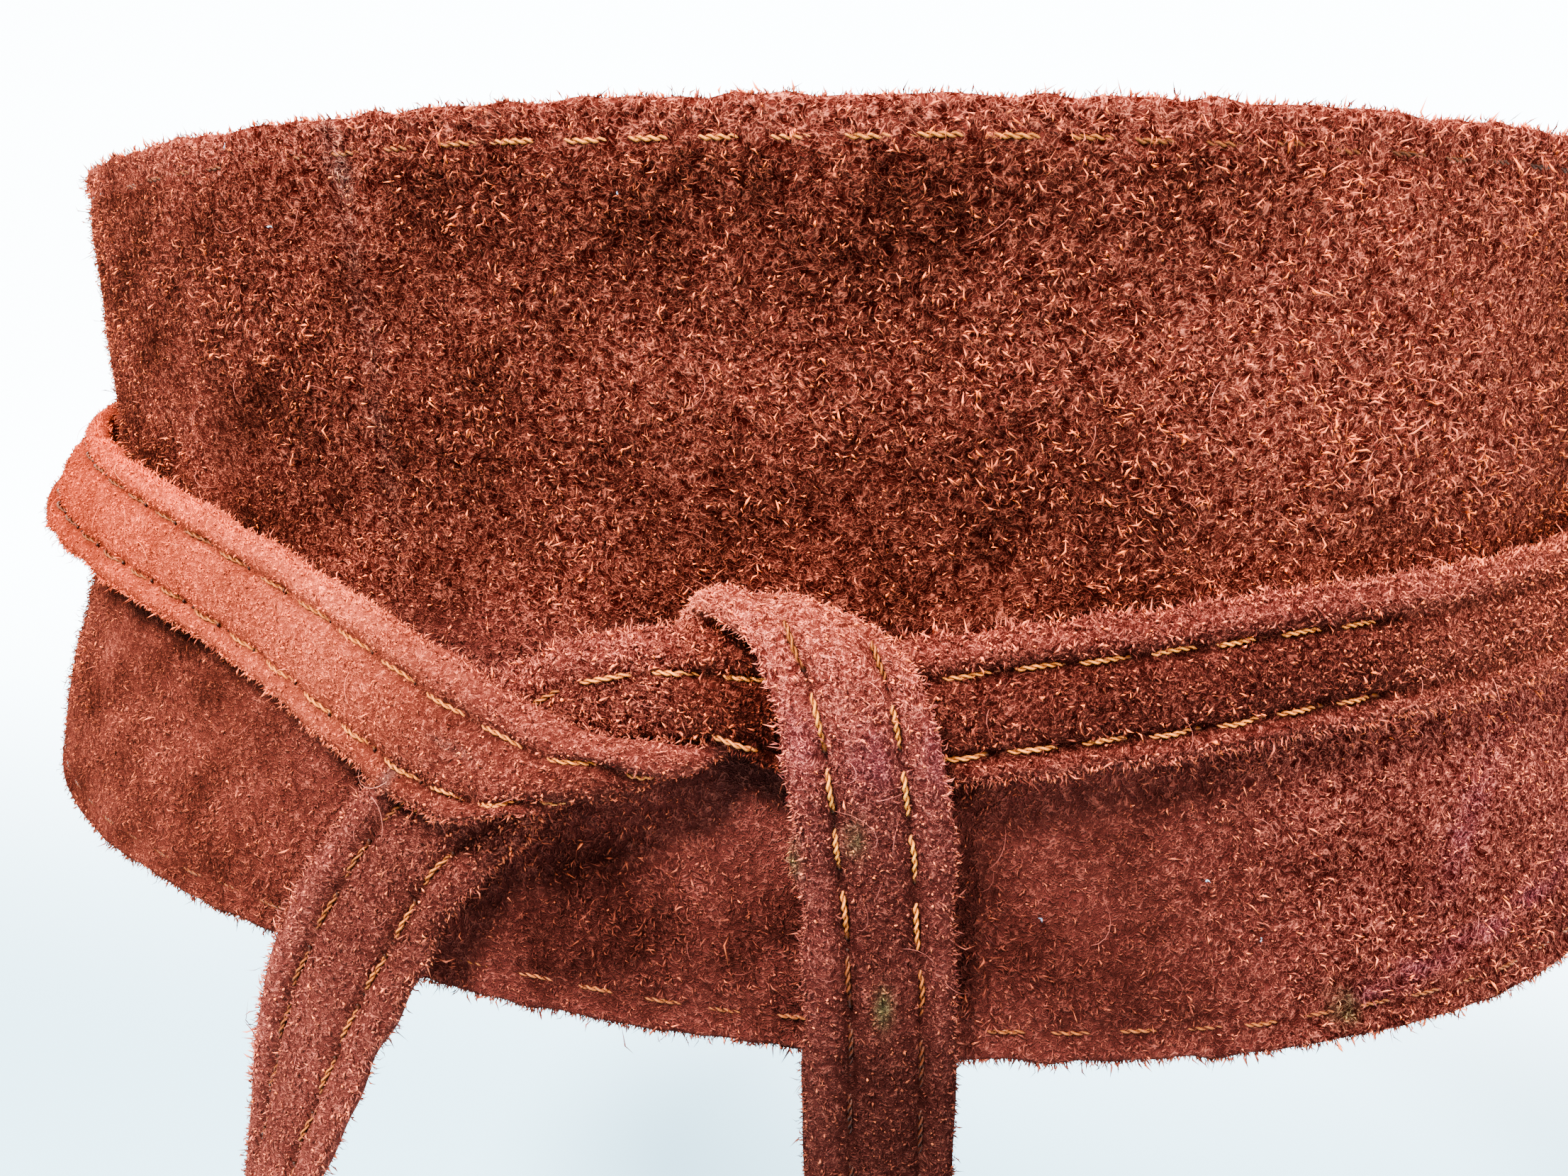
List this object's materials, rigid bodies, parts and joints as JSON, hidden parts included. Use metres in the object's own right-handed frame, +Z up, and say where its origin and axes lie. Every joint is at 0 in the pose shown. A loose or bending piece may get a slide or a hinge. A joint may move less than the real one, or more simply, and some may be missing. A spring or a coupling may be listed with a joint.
{
  "type": "suede obi belt",
  "caption": "Wide suede waist sash that narrows towards its open back, with long flat stitched ties that cross behind it, wrap round it and are knotted in front, tails hanging.",
  "frame": {"origin": "middle of the waist opening, at the height where the opening is narrowest", "axes": "+Z up, -Y towards the knot at the front, +X to the right as seen from the front"},
  "size_m": [0.2776, 0.1996, 0.1645],
  "materials": {
    "suede_panel": "napped",
    "suede_tie": "napped",
    "thread": "twisted"
  },
  "bodies": {
    "root": {"belt_panel": "suede_panel", "tie_left": "suede_tie", "tie_right": "suede_tie"}
  },
  "joints": []
}
